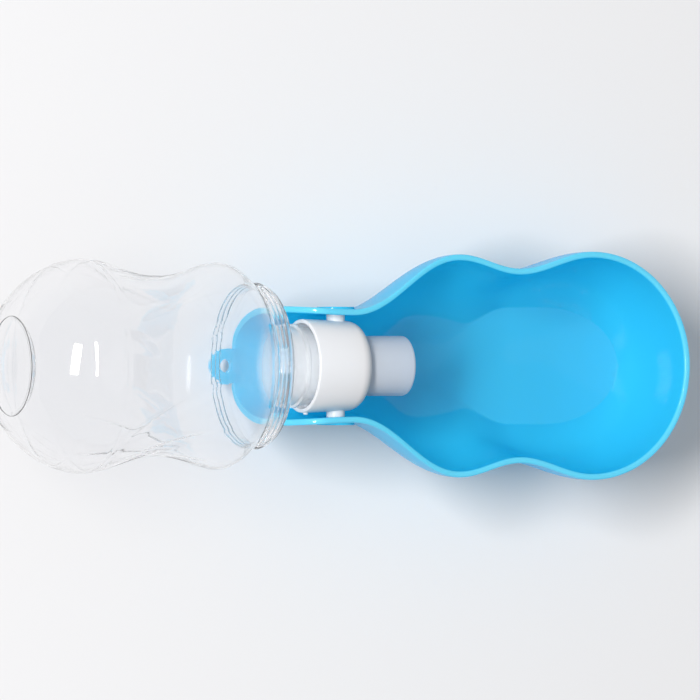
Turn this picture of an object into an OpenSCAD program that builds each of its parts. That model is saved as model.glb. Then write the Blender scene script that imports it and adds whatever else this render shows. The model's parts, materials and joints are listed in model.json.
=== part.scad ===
// Travel water bottle for dogs: a squeezable bottle, a screw cap with a pull spout,
// and a drinking trough that swings on two trunnions of the cap and folds over the bottle.
// Everything is drawn about the trough's pivot axis, with +X along the bottle towards
// the trough's tip, and is then moved so that the part stands on the XY plane.

/* [Trough] */
// Thickness of the trough's wall
trough_wall = 2.0; // [1.6:0.1:2.6]
// How far the trough's tip reaches past the bottle's base when it is folded
tip_reach = 12.6; // [11:0.2:16]
// Half the inner width at the narrow neck beside the cap
neck_half_w = 16.5; // [16.2:0.1:18]
// Half the inner width at the first bulge
bulge_a_half_w = 34.5; // [33:0.1:36]
// Half the inner width at the waist
waist_half_w = 29.9; // [28.5:0.1:32]
// Half the inner width at the second bulge
bulge_b_half_w = 35.5; // [34:0.1:38]
// Distance from the pivot to the narrowest place of the neck
neck_x = 4; // [0:0.5:8]
// Distance from the pivot to the first bulge
bulge_a_x = 44.6; // [42:0.2:47]
// Distance from the pivot to the waist
waist_x = 66.6; // [64:0.2:69]
// Distance from the pivot to the second bulge
bulge_b_x = 93; // [90:0.2:96]
// Inner depth of the bowl below the pivot
bowl_depth = 35.4; // [35:0.1:40]
// Half the width of the flat bowl floor
floor_half_w = 19; // [15:0.2:21]
// Distance from the start of the flat floor to the second bulge
floor_run = 13; // [9:0.5:17]
// Half the width of the channel's floor beside the cap
keel_half_w = 5.5; // [4.5:0.1:6.5]
// Slope room between the floor's end and the tip of the rim
tip_draft = 8.5; // [5:0.5:14]
// Height of the bowl's rim above the pivot
rim_h = 2; // [0:0.2:4]
// Height of the ears above the pivot
ear_h = 7; // [6.6:0.2:9]
// Height of the flat foot under the bowl
foot_h = 0.6; // [0.4:0.1:1.2]

/* [Hood behind the cap] */
// Distance from the pivot back to the hood's open end
hood_x = 23; // [21:0.2:23.6]
// Distance from the pivot back to the end of the strap tab
tab_x = 32.3; // [31:0.1:34]
// Half the width of the strap tab
tab_half_w = 5.7; // [5:0.1:7]
// Radius of the strap hole
strap_hole_r = 2.3; // [1.8:0.1:2.6]
// Gap between the tab and the bottle's shoulder when the trough is open
stop_gap = 0.3; // [0.2:0.05:0.6]

/* [Pivot] */
// Radius of the cap's trunnions
trunnion_r = 3.0; // [2.5:0.1:3.5]
// Running gap round a trunnion
pivot_gap = 0.06; // [0.03:0.01:0.1]
// Radius of the boss outside each ear
boss_r = 6.2; // [5.6:0.1:6.6]
// How far the boss stands off the ear
boss_h = 0.8; // [0.5:0.1:1.4]
// Closed skin left outside a trunnion's bore
boss_skin = 1.0; // [0.8:0.1:1.4]

/* [Bottle] */
// Distance from the pivot back to the bottle's base
base_x = 116; // [114:0.2:119]
// Radius of the ring that the bottle stands on
base_ring_r = 17.3; // [15:0.1:20]
// Height of the push-up inside the base ring
push_up_h = 4.5; // [3:0.1:6]
// Wall of the bottle's body
bottle_wall = 0.9; // [0.7:0.05:1.2]
// Gap between the bottle and the folded trough
fold_gap = 0.4; // [0.3:0.05:0.8]
// Distance from the pivot back to the middle of the shoulder's ring
ring_x = 30.4; // [30:0.1:30.8]
// Radius of the shoulder's ring
ring_r = 27.1; // [26.6:0.1:27.6]
// Width of the shoulder's ring
ring_w = 4.4; // [3.6:0.1:5]
// Number of ridges round the shoulder's ring
ring_ridges = 3; // [2:1:4]
// Depth of the grooves between the ridges
ridge_h = 0.5; // [0.3:0.05:0.7]
// Depth of the groove between the ring and the shoulder
ring_step = 0.7; // [0.4:0.1:1]
// Distance of the upper grip groove from the bottle's base
grip_a_h = 27; // [24:0.5:32]
// Distance of the lower grip groove from the bottle's base
grip_b_h = 15; // [13:0.5:18]
// Depth of the grip grooves
grip_depth = 0.35; // [0.2:0.05:0.6]
// Half the width of the grip grooves
grip_half_w = 1.1; // [0.8:0.1:1.6]
// Outer radius of the neck
neck_r = 12.9; // [12.6:0.1:13.1]
// Inner radius of the neck
mouth_r = 11.2; // [10:0.1:11.4]
// Radius of the bead under the cap
bead_r = 13.7; // [13.4:0.1:14]
// Axial travel of the cap in one turn of its thread
thread_lead = 4.2; // [3.2:0.1:4.4]

/* [Cap] */
// Outer radius of the cap at its rim
cap_r = 15.3; // [15.1:0.1:15.5]
// Distance from the pivot back to the cap's rim
cap_rim_x = 12.6; // [11.6:0.1:13.4]
// Distance from the pivot to the cap's front ring
cap_front_x = 7.6; // [7.2:0.1:8.6]
// Radial room for the thread between the neck and the cap
thread_room = 1.05; // [0.9:0.05:1.2]
// Thickness of the cap's top plate
plate_t = 1.4; // [1:0.1:1.6]
// Thickness of the neck seal
seal_t = 1.4; // [1:0.1:1.6]

/* [Pull spout] */
// Outer radius of the spout
spout_r = 9.8; // [9.2:0.1:10.2]
// Distance from the pivot to the end of the pulled spout
spout_end_x = 24.7; // [23.6:0.1:25.2]
// Travel of the spout
spout_travel = 3.5; // [2.5:0.1:3.6]
// Outer radius of the valve's chimney
chimney_r = 6.3; // [5.8:0.1:6.6]
// Radius of the spout's orifice
orifice_r = 3.1; // [2.6:0.1:3.6]
// Sliding gap between spout and chimney
slide_gap = 0.05; // [0.03:0.01:0.1]

/* [Hidden] */

// Where the parts meet along the axis, counted from the pivot
plate_x = 2.0;
recess_x = plate_x + plate_t;
flange_t = 1.4;
flange_x = plate_x - flange_t;
lip_x = flange_x - seal_t;
hood_half_w = neck_half_w + 1.1;
hood_edge_z = -4;
keel_end_x = 50;
floor_start_x = bulge_b_x - floor_run;
ear_flat = 6;
channel_flat_x = 12;
tip_x = base_x + tip_reach;
ring_front = ring_x - ring_w / 2;
ring_back = ring_x + ring_w / 2;
spout_tuck = 0.4;
spout_back_x = cap_front_x - spout_tuck;

// Moves from the pivot to the middle of the footprint
mid_x = (tip_x - base_x) / 2;
stand_z = bowl_depth + trough_wall + foot_h;

function ease(t) = (1 - cos(180 * min(max(t, 0), 1))) / 2;
function mix(a, b, t) = a + (b - a) * t;
function between(x, x0, x1) = ease((x - x0) / (x1 - x0));

// Inner half width of the trough at its rim, from the hood to the second bulge
function rim_w(x) =
    x < neck_x ? mix(neck_half_w, hood_half_w, between(neck_x - x, 0, neck_x + hood_x)) :
    x < bulge_a_x ? mix(neck_half_w, bulge_a_half_w, between(x, neck_x, bulge_a_x)) :
    x < waist_x ? mix(bulge_a_half_w, waist_half_w, between(x, bulge_a_x, waist_x)) :
    mix(waist_half_w, bulge_b_half_w, between(x, waist_x, bulge_b_x));

// The same with the round nose in front of the second bulge
nose_len = tip_x - trough_wall - bulge_b_x;
function trough_w(x) = x < bulge_b_x ? rim_w(x) :
    bulge_b_half_w * sqrt(max(1 - pow((x - bulge_b_x) / nose_len, 2), 0));

// Outer radius of the bottle at a distance s behind the pivot. The body follows the trough
// that folds over it, with room for the cap to be screwed off under the folded trough,
// and runs into the shoulder and the heel.
shoulder_drop = bulge_a_half_w - fold_gap - ring_r + ring_step;
function soft_min(a, b) = -ln(exp(-4 * a) + exp(-4 * b)) / 4;
function body_r(s) = soft_min(trough_w(s), trough_w(s + thread_lead)) - fold_gap;
function shoulder_r(s) =
    bulge_a_half_w - fold_gap - shoulder_drop * pow(max(bulge_a_x - s, 0) / (bulge_a_x - ring_back), 2);
heel_h = 14;
heel_w = 16;
heel_x = base_x - heel_h;
function heel_r(s) = base_ring_r + heel_w * sqrt(max(1 - pow((s - heel_x) / heel_h, 2), 0));
function bottle_r(s) =
    s < bulge_a_x ? soft_min(body_r(s), shoulder_r(s)) :
    s < heel_x ? body_r(s) : soft_min(body_r(s), heel_r(s));

// Depths that follow from the bottle under the tab
hood_depth = max(bottle_r(tab_x), ring_r) + stop_gap;
function depth(x) = mix(hood_depth, bowl_depth, between(x, channel_flat_x, bulge_a_x));
function floor_w(x) = mix(keel_half_w, floor_half_w, between(x, keel_end_x, floor_start_x));
function rim_z(x) =
    x > 0 ? mix(ear_h, rim_h, between(x, ear_flat, bulge_a_x)) :
    mix(ear_h, hood_edge_z, between(-x, ear_flat, hood_x));

// Stations along the side, then angles round the tip
side_n = 34;
tip_n = 12;
level_angles = [0, 9, 18, 27, 38, 50, 63, 76, 90];
levels = len(level_angles) + 1;
side_x = [for (i = [0:side_n]) mix(-hood_x, bulge_b_x, i / side_n)];
half_n = side_n + 1 + tip_n;

// Share of the way from the floor's edge to the rim's edge at an angle up the wall:
// an ellipse beside the cap, and in the bowl a fuller curve that a fillet joins to the floor,
// so that the bottle's round body still lies inside the folded trough
fullness = 2.4;
overshoot = 1.15;
fillet_start = 0.88;
bowl_blend = 12;
floor_share = floor_half_w / bulge_b_half_w;
function full_curve(u) = pow(1 - pow(u / overshoot, fullness), 1 / fullness);
function bowl_wall(u) = (full_curve(u) - floor_share) / (1 - floor_share)
    * (u < fillet_start ? 1 : sqrt(max(1 - pow((u - fillet_start) / (1 - fillet_start), 2), 0)));
function wall_share(x, a) =
    mix(sin(a), bowl_wall(cos(a)), between(x, waist_x - bowl_blend, waist_x + bowl_blend));

// One point of the wall: station i along one side and round the tip, level k up the wall,
// t is the wall thickness for the outer surface and 0 for the inner one
function side_point(i, k, t) =
    let (x = side_x[i], a = level_angles[min(k, levels - 2)],
         w = floor_w(x) + t / 2 + (rim_w(x) + t - floor_w(x) - t / 2) * wall_share(x, a),
         z = k < levels - 1 ? -(depth(x) + t) * cos(a) : rim_z(x))
    [x, w, z];
function tip_point(j, k, t) =
    let (b = 90 * j / tip_n, a = level_angles[min(k, levels - 2)],
         share = wall_share(bulge_b_x, a),
         w = mix(floor_half_w + t / 2, bulge_b_half_w + t, share),
         reach = mix(nose_len - tip_draft + t / 2, nose_len + t, share),
         z = k < levels - 1 ? -(bowl_depth + t) * cos(a) : rim_h)
    [bulge_b_x + reach * sin(b), w * cos(b), z];
function half_point(i, k, t) = i <= side_n ? side_point(i, k, t) : tip_point(i - side_n, k, t);
ring_n = 2 * half_n - 1;
function ring_point(i, k, t) = i < half_n ? half_point(i, k, t) :
    let (p = half_point(ring_n - 1 - i, k, t)) [p[0], -p[1], p[2]];

// Closed shell: outer levels, then inner levels
module trough_shell() {
    outer = [for (k = [0:levels - 1]) for (i = [0:ring_n - 1]) ring_point(i, k, trough_wall)];
    inner = [for (k = [0:levels - 1]) for (i = [0:ring_n - 1]) ring_point(i, k, 0)];
    skip = levels * ring_n;
    function o(i, k) = k * ring_n + i;
    function n(i, k) = skip + k * ring_n + i;
    last = ring_n - 1;
    top = levels - 1;
    wall_outer = [for (k = [0:top - 1]) for (i = [0:last - 1])
        each [[o(i, k), o(i + 1, k), o(i + 1, k + 1)], [o(i, k), o(i + 1, k + 1), o(i, k + 1)]]];
    wall_inner = [for (k = [0:top - 1]) for (i = [0:last - 1])
        each [[n(i, k), n(i + 1, k + 1), n(i + 1, k)], [n(i, k), n(i, k + 1), n(i + 1, k + 1)]]];
    rim = [for (i = [0:last - 1])
        each [[o(i, top), o(i + 1, top), n(i + 1, top)], [o(i, top), n(i + 1, top), n(i, top)]]];
    floor_outer = [for (i = [0:half_n - 2])
        each i < half_n - 2 ?
            [[o(i, 0), o(last - i, 0), o(last - i - 1, 0)], [o(i, 0), o(last - i - 1, 0), o(i + 1, 0)]] :
            [[o(i, 0), o(last - i, 0), o(i + 1, 0)]]];
    floor_inner = [for (i = [0:half_n - 2])
        each i < half_n - 2 ?
            [[n(i, 0), n(last - i - 1, 0), n(last - i, 0)], [n(i, 0), n(i + 1, 0), n(last - i - 1, 0)]] :
            [[n(i, 0), n(i + 1, 0), n(last - i, 0)]]];
    end_walls = [for (k = [0:top - 1])
        each [[o(0, k), o(0, k + 1), n(0, k + 1)], [o(0, k), n(0, k + 1), n(0, k)],
              [o(last, k), n(last, k + 1), o(last, k + 1)], [o(last, k), n(last, k), n(last, k + 1)]]];
    end_floor = [[o(0, 0), n(0, 0), n(last, 0)], [o(0, 0), n(last, 0), o(last, 0)]];
    faces = concat(wall_outer, wall_inner, rim, floor_outer, floor_inner, end_walls, end_floor);
    polyhedron(points = concat(outer, inner), faces = faces, convexity = 10);
}

// Turns a profile of [radius, distance along +X] points about the bottle's axis
module turned(profile) {
    rotate([0, 90, 0]) rotate_extrude($fn = 96) polygon(profile);
}

module in_row_frame() {
    translate([-mid_x, 0, stand_z]) children();
}

// Outline of the bottle from its mouth to the middle of its base, as [r, s],
// where s is the distance behind the pivot
body_n = 30;
grip_n = 6;
heel_n = 14;
neck_fillet = 3;
neck_end_s = ring_front - 5.6;
face_edge = 1.1;
face_out_r = ring_r - 0.9;
base_land = 1.2;
ridge_w = ring_w / ring_ridges;
grip_a = base_x - grip_a_h;
grip_b = base_x - grip_b_h;
body_start_s = ring_back + 0.3;
bead = [[neck_r, cap_rim_x + 1.9], [bead_r, cap_rim_x + 2.5], [bead_r, cap_rim_x + 3.5],
        [neck_r, cap_rim_x + 4.3]];
neck_foot = [for (a = [0:15:90])
    [neck_r + neck_fillet * (1 - cos(a)), neck_end_s - neck_fillet * (1 - sin(a))]];
ring_face = [[face_out_r, ring_front - face_edge]];
ridges = [for (i = [0:ring_ridges - 1]) let (s = ring_front + ridge_w * i)
    each [[ring_r - ridge_h, s], [ring_r, s + ridge_w * 0.25], [ring_r, s + ridge_w * 0.75]]];
ring_end = [[ring_r - ridge_h, ring_back]];
function stretch(a, b, n) = [for (i = [1:n]) let (s = mix(a, b, i / n)) [bottle_r(s), s]];
function grip(s) = [[bottle_r(s) - grip_depth, s - grip_half_w * 0.4],
    [bottle_r(s) - grip_depth, s + grip_half_w * 0.4], [bottle_r(s + grip_half_w), s + grip_half_w]];
body = concat(
    [[bottle_r(body_start_s), body_start_s]],
    stretch(body_start_s, grip_a - grip_half_w, body_n), grip(grip_a),
    stretch(grip_a + grip_half_w, grip_b - grip_half_w, grip_n), grip(grip_b));
heel_start = max(grip_b + grip_half_w, heel_x);
heel = [for (i = [1:heel_n]) let (s = heel_start + (base_x - heel_start) * sin(90 * i / heel_n))
    [bottle_r(s), s]];
base = concat(
    [[base_ring_r - base_land, base_x]],
    [for (a = [15:15:90]) [base_ring_r * 0.9 * cos(a), base_x - push_up_h * sin(a)]]);

// The outline without its bead and ridges, moved in by the wall, square to itself
function unit(v) = v / norm(v);
function inward(p, i) =
    let (a = p[max(i - 1, 0)], b = p[min(i + 1, len(p) - 1)], d = unit(b - a)) [-d[1], d[0]];
function wall_at(s) = mix(neck_r - mouth_r, bottle_wall, between(s, neck_end_s - 2, ring_front - 1));

module bottle() {
    mouth = [[neck_r, -lip_x]];
    outside = concat(mouth, bead, neck_foot, ring_face, ridges, ring_end, body, heel, base);
    smooth = concat(mouth, neck_foot, ring_face, body, heel, base);
    inside = [for (i = [len(smooth) - 2:-1:1])
        let (p = smooth[i], q = p + inward(smooth, i) * wall_at(p[1])) [max(q[0], 0), q[1]]];
    profile = concat(outside, [[0, base_x - push_up_h - bottle_wall]], inside, [[mouth_r, -lip_x]]);
    color([0.86, 0.92, 0.95, 0.35]) turned([for (p = profile) [p[0], -p[1]]]);
}

// Flat silicone ring between the neck's lip and the valve's flange
module neck_seal() {
    color("whitesmoke") turned([
        [mouth_r - 1.6, lip_x], [neck_r + 0.4, lip_x],
        [neck_r + 0.4, flange_x], [mouth_r - 1.6, flange_x]]);
}

// Cap: threaded skirt, domed shoulder, recess for the spout and two trunnions
module screw_cap() {
    bore_r = neck_r + thread_room;
    dome_r = cap_r - 0.6;
    front_r = spout_r + 0.9;
    recess_r = spout_r + 0.3;
    hole_r = chimney_r + 0.3;
    dome = [for (a = [0:10:90])
        [front_r + (dome_r - front_r) * cos(a), 3.2 + (cap_front_x - 3.2) * sin(a)]];
    rim_round = [[cap_r - 0.5, -cap_rim_x], [cap_r - 0.15, -cap_rim_x + 0.15], [cap_r, -cap_rim_x + 0.5]];
    reach = neck_half_w + trough_wall + boss_h - boss_skin - 0.2;
    color("white") {
        difference() {
            union() {
                turned(concat([[0, -cap_rim_x]], rim_round, dome, [[0, cap_front_x]]));
                rotate([90, 0, 0]) cylinder(r = trunnion_r, h = 2 * reach, center = true, $fn = 48);
            }
            turned([[0, -cap_rim_x - 1], [bore_r, -cap_rim_x - 1], [bore_r, plate_x], [0, plate_x]]);
            turned([[0, plate_x - 1], [hole_r, plate_x - 1], [hole_r, recess_x],
                    [recess_r, recess_x], [recess_r, cap_front_x + 1], [0, cap_front_x + 1]]);
        }
    }
}

// Valve: clamped flange, chimney with a stop bead and a sealing bead, and a plug on three ribs
module valve_stem() {
    bore_r = 4.6;
    post_r = 2.0;
    plug_r = orifice_r - slide_gap;
    end_wall_t = 2;
    chimney_end = spout_end_x - end_wall_t - spout_travel - 0.4;
    plug_end = spout_end_x - spout_travel;
    bead = slide_gap + 0.25;
    stop_x = spout_back_x + 1.6;
    color("white") {
        turned([
            [bore_r, flange_x], [neck_r, flange_x], [neck_r, plate_x], [chimney_r, plate_x],
            [chimney_r, stop_x], [chimney_r + bead, stop_x + 0.1], [chimney_r, stop_x + 1],
            [chimney_r, chimney_end - 1.8], [chimney_r + bead, chimney_end - 1.2],
            [chimney_r + bead, chimney_end - 0.8], [chimney_r, chimney_end - 0.2],
            [chimney_r - 0.3, chimney_end], [bore_r, chimney_end]]);
        turned([
            [0, flange_x], [post_r, flange_x], [post_r, plug_end - 3], [plug_r, plug_end - 2.2],
            [plug_r, plug_end - 0.3], [plug_r - 0.3, plug_end], [0, plug_end]]);
        for (a = [0, 120, 240]) rotate([a, 0, 0])
            translate([flange_x, -0.5, post_r - 0.2])
                cube([5, 1, bore_r - post_r + 0.4]);
    }
}

// Spout: outer skirt and inner sleeve joined by the end wall, which holds the orifice
module pull_spout() {
    sleeve_r = chimney_r + 0.3 + slide_gap;
    lip_r = chimney_r + slide_gap;
    skirt_t = 1.2;
    end_wall_t = 2;
    edge = 1.0;
    end_x = spout_end_x;
    inner_end = end_x - end_wall_t;
    skirt_in_r = spout_r - skirt_t;
    sleeve_out_r = sleeve_r + 0.9;
    edge_round = [for (a = [0:15:90]) [spout_r - edge + edge * cos(a), end_x - edge + edge * sin(a)]];
    color("gainsboro") turned(concat(
        [[orifice_r, end_x], [orifice_r, inner_end], [sleeve_r, inner_end],
         [sleeve_r, spout_back_x + 1.4], [lip_r, spout_back_x + 1.2], [lip_r, spout_back_x],
         [sleeve_out_r, spout_back_x], [sleeve_out_r, inner_end - 1], [skirt_in_r, inner_end - 1],
         [skirt_in_r, spout_back_x], [spout_r, spout_back_x]],
        edge_round));
}

// Trough with its bosses, foot and strap tab
module trough() {
    tab_z = -hood_depth - trough_wall;
    hole_x = tab_x - tab_half_w;
    ear_out = neck_half_w + trough_wall;
    bore_end = ear_out + boss_h - boss_skin;
    foot_z = -bowl_depth - trough_wall;
    color("deepskyblue") difference() {
        union() {
            trough_shell();
            for (side = [-1, 1]) rotate([side * -90, 0, 0])
                translate([0, 0, ear_out - trough_wall / 2])
                    cylinder(r = boss_r, h = trough_wall / 2 + boss_h, $fn = 64);
            translate([0, 0, foot_z - foot_h]) linear_extrude(foot_h + 0.4) hull() {
                translate([floor_start_x - 6, 0]) circle(r = floor_half_w - 5, $fn = 48);
                translate([bulge_b_x + 6, 0]) circle(r = floor_half_w - 2, $fn = 48);
            }
            translate([0, 0, tab_z]) linear_extrude(trough_wall) union() {
                translate([-hole_x, 0]) circle(r = tab_half_w, $fn = 48);
                translate([-hole_x, -tab_half_w]) square([hole_x - hood_x + 2, 2 * tab_half_w]);
            }
        }
        rotate([90, 0, 0]) cylinder(r = trunnion_r + pivot_gap, h = 2 * bore_end, center = true, $fn = 48);
        translate([-hole_x, 0, tab_z - 1]) cylinder(r = strap_hole_r, h = trough_wall + 2, $fn = 48);
    }
}

in_row_frame() bottle();
in_row_frame() neck_seal();
in_row_frame() screw_cap();
in_row_frame() valve_stem();
in_row_frame() pull_spout();
in_row_frame() trough();
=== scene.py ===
"""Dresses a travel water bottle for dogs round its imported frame: the clear bottle with its threaded neck,
the screw cap, the pull spout with its valve, and the drinking trough that swings on the cap."""

import json
import math

import bmesh
import bpy
from mathutils import Matrix, Vector


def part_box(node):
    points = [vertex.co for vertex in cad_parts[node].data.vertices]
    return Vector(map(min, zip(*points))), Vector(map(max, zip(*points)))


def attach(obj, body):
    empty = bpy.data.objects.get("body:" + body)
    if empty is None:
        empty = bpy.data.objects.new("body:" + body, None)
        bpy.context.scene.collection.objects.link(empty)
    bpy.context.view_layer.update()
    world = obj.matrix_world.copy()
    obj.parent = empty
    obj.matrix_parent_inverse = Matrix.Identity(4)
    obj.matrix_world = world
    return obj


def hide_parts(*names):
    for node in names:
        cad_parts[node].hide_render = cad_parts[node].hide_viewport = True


bl_info = {
    "name": "Dog travel water bottle",
    "version": (1, 0, 0),
    "blender": (4, 5, 0),
    "location": "3D View > Sidebar > Water Bottle",
    "description": "Builds a clear travel bottle with a screw cap, a pull spout and a folding trough",
    "category": "Add Mesh",
}

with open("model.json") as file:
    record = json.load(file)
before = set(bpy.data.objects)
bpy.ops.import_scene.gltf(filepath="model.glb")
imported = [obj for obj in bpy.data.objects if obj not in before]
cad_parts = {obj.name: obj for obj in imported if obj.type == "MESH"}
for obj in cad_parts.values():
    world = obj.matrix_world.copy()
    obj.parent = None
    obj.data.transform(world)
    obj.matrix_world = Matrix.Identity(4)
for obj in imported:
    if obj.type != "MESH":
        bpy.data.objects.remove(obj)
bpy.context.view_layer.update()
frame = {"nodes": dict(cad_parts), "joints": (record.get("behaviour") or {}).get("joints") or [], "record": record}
JOINTS = {joint["name"]: joint for joint in frame["joints"]}
PIVOT = Vector(JOINTS["trough_fold"]["pos_m"])
BOTTLE_LOW, BOTTLE_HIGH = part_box("bottle")
CAP_LOW, CAP_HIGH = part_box("screw_cap")
SPOUT_LOW, SPOUT_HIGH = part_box("pull_spout")
TROUGH_LOW, TROUGH_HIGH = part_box("trough")
COUPLING = frame["record"]["behaviour"]["couplings"][0]
MM = 0.001


def length(name, description, default):
    """A size property in metres, given in millimetres."""
    return bpy.props.FloatProperty(
        name=name, description=description, default=default * MM, min=0.0, unit="LENGTH", precision=5
    )


def number(name, description, default):
    """A plain number property, never negative."""
    return bpy.props.FloatProperty(name=name, description=description, default=default, min=0.0)


def whole(name, description, default):
    """A whole number property, never negative."""
    return bpy.props.IntProperty(name=name, description=description, default=default, min=0)


def colour(name, description, default):
    """A colour property in linear light."""
    return bpy.props.FloatVectorProperty(
        name=name, description=description, default=default, size=3, min=0.0, max=1.0, subtype="COLOR"
    )


class TroughSizes(bpy.types.PropertyGroup):
    """Sizes of the drinking trough, from the pivot."""

    wall: length("Wall", "Thickness of the trough's wall", 2.0)
    neck_half_w: length("Neck half width", "Half the inner width beside the cap", 16.5)
    hood_half_w: length("Hood half width", "Half the inner width at the hood's open end", 17.6)
    bulge_a_half_w: length("First bulge", "Half the inner width at the first bulge", 34.5)
    waist_half_w: length("Waist", "Half the inner width at the waist", 29.9)
    bulge_b_half_w: length("Second bulge", "Half the inner width at the second bulge", 35.5)
    neck_x: length("Neck place", "Distance from the pivot to the neck's narrowest place", 4)
    bulge_a_x: length("First bulge place", "Distance from the pivot to the first bulge", 44.6)
    waist_x: length("Waist place", "Distance from the pivot to the waist", 66.6)
    bulge_b_x: length("Second bulge place", "Distance from the pivot to the second bulge", 93)
    hood_x: length("Hood", "Distance from the pivot back to the hood's open end", 23)
    tab_half_w: length("Tab half width", "Half the width of the strap tab", 5.7)
    strap_hole_r: length("Strap hole", "Radius of the strap hole", 2.3)
    rim_h: length("Rim height", "Height of the bowl's rim above the pivot", 2)
    ear_h: length("Ear height", "Height of the ears above the pivot", 7)
    hood_drop: length("Hood drop", "How far the hood's end lies below the pivot", 4)
    foot_h: length("Foot", "Height of the flat foot under the bowl", 0.6)
    floor_half_w: length("Floor half width", "Half the width of the bowl's flat floor", 19)
    floor_run: length("Floor run", "Distance from the start of the flat floor to the second bulge", 13)
    keel_half_w: length("Channel floor", "Half the width of the channel's floor beside the cap", 5.5)
    tip_draft: length("Tip draft", "Slope room between the floor's end and the tip of the rim", 6.5)
    rim_round: length("Rim rounding", "Radius of the rim's two edges", 0.75)
    boss_r: length("Boss", "Radius of the boss outside each ear", 6.2)
    boss_h: length("Boss height", "How far the boss stands off the ear", 0.8)


class BottleSizes(bpy.types.PropertyGroup):
    """Sizes of the bottle."""

    wall: length("Wall", "Thickness of the blown wall, as it looks", 0.5)
    fold_gap: length("Fold gap", "Gap between the bottle and the folded trough", 0.4)
    neck_r: length("Neck", "Outer radius of the neck", 12.9)
    mouth_r: length("Mouth", "Inner radius of the neck", 11.2)
    bead_r: length("Bead", "Radius of the bead under the cap", 13.7)
    bead_x: length("Bead place", "Distance from the pivot back to the bead", 15.6)
    ring_x: length("Shoulder ring place", "Distance from the pivot back to the shoulder ring's middle", 30.4)
    ring_r: length("Shoulder ring", "Radius of the shoulder's ring", 27.1)
    ring_w: length("Shoulder ring width", "Width of the shoulder's ring", 4.4)
    ring_step: length("Ring step", "Depth of the groove behind the shoulder's ring", 0.7)
    ridge_h: length("Ridge height", "Depth of the grooves between the ring's ridges", 0.5)
    ridges: whole("Ridges", "Number of ridges round the ring", 3)
    grip_a_h: length("Upper groove", "Distance of the upper grip groove from the base", 27)
    grip_b_h: length("Lower groove", "Distance of the lower grip groove from the base", 15)
    grip_depth: length("Groove depth", "Depth of the grip grooves", 0.35)
    grip_half_w: length("Groove width", "Half the width of the grip grooves", 1.1)
    base_ring_r: length("Base ring", "Radius of the ring that the bottle stands on", 17.3)
    push_up_h: length("Push-up", "Height of the push-up inside the base ring", 4.5)
    heel_h: length("Heel height", "Length of the round heel", 14)
    heel_w: length("Heel width", "Width of the round heel", 16)
    flute_depth: length("Flute depth", "Depth of the grip flutes", 1.0)
    flutes: whole("Flutes", "Number of grip flutes", 10)
    thread_h: length("Thread height", "How far the thread stands off the neck", 0.85)
    thread_r: length("Thread section", "Radius of the thread's round section", 0.9)
    thread_x: length("Thread start", "Distance from the lip back to the thread's start", 9.5)
    thread_turns: number("Thread turns", "Number of turns of the thread", 1.4)


class CapSizes(bpy.types.PropertyGroup):
    """Sizes of the cap and the pull spout."""

    cap_r: length("Cap", "Outer radius of the cap at its rim", 15.3)
    bore_r: length("Bore", "Inner radius of the cap's skirt", 13.95)
    shoulder_r: length("Shoulder", "Radius of the ring round the spout", 10.7)
    plate_x: length("Plate", "Distance from the pivot to the cap's plate", 2.0)
    plate_t: length("Plate thickness", "Thickness of the cap's plate", 1.4)
    trunnion_r: length("Trunnion", "Radius of the trunnions", 3.0)
    chimney_r: length("Chimney", "Outer radius of the valve's chimney", 6.3)
    spout_wall: length("Spout wall", "Thickness of the spout's skirt", 1.2)
    end_wall: length("Spout end", "Thickness of the spout's end wall", 2.0)
    orifice_r: length("Orifice", "Radius of the spout's orifice", 3.1)
    slide_gap: length("Slide gap", "Sliding gap between spout and chimney", 0.05)


class Finishes(bpy.types.PropertyGroup):
    """Colours of the plastics, in linear light."""

    clear: colour("Clear plastic", "Tint of the blown bottle", (0.99, 0.99, 0.992))
    haze: colour("Haze", "Colour of the neck's thick plastic", (0.82, 0.86, 0.9))
    blue: colour("Blue plastic", "Colour of the trough", (0.06, 0.73, 0.99))
    blue_glow: colour("Blue glow", "Colour of the light that passes through the trough", (0.02, 0.76, 1.0))
    # The rim's paler blue is a painted highlight, standing in for the light that shines through the thin rim and
    # the gloss on it
    blue_rim_highlight: colour("Blue edge", "Colour of the trough's thin rim", (0.2, 0.86, 1.0))
    white: colour("White plastic", "Colour of the cap", (0.9, 0.9, 0.915))
    milky: colour("Milky plastic", "Colour of the pull spout", (0.82, 0.835, 0.87))
    valve: colour("Valve plastic", "Colour of the valve", (0.78, 0.8, 0.82))
    silicone: colour("Silicone", "Colour of the neck seal", (0.72, 0.73, 0.72))
    floor: colour("Floor", "Colour of the studio's floor", (0.82, 0.812, 0.82))


class StageSizes(bpy.types.PropertyGroup):
    """The studio: camera and lamps."""

    tilt: bpy.props.FloatProperty(
        name="Tilt", description="Camera's tilt from overhead", default=math.radians(25.5), subtype="ANGLE"
    )
    distance: length("Distance", "Distance from the camera to the object", 5000)
    frame_w: length("Frame width", "Width of the view at the object", 228.2)
    aim_right: length("Aim right", "How far right of the pivot the camera aims", 4.7)
    aim_up: length("Aim up", "How far above the pivot in the picture the camera aims", 5.2)
    key_power: number("Key power", "Power of the key lamp in watts", 67.0)
    fill_power: number("Fill power", "Power of the fill lamp in watts", 1.0)
    sky: number("Sky", "Strength of the world's light", 0.36)
    backdrop: number("Backdrop", "Brightness that the camera, gloss and clear plastic see", 0.92)


# Shapes of the trough, in metres from the pivot


def mix(a, b, t):
    return a + (b - a) * t


def between(x, start, end):
    """A smooth share from 0 at the start to 1 at the end."""
    return (1 - math.cos(math.pi * min(max((x - start) / (end - start), 0), 1))) / 2


def quarter(t):
    """Height of a quarter circle of radius 1 at a distance from its middle."""
    return math.sqrt(max(1 - t**2, 0))


# The ends of the trough
TIP_X = TROUGH_HIGH.x - PIVOT.x
TAB_X = PIVOT.x - TROUGH_LOW.x
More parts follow.
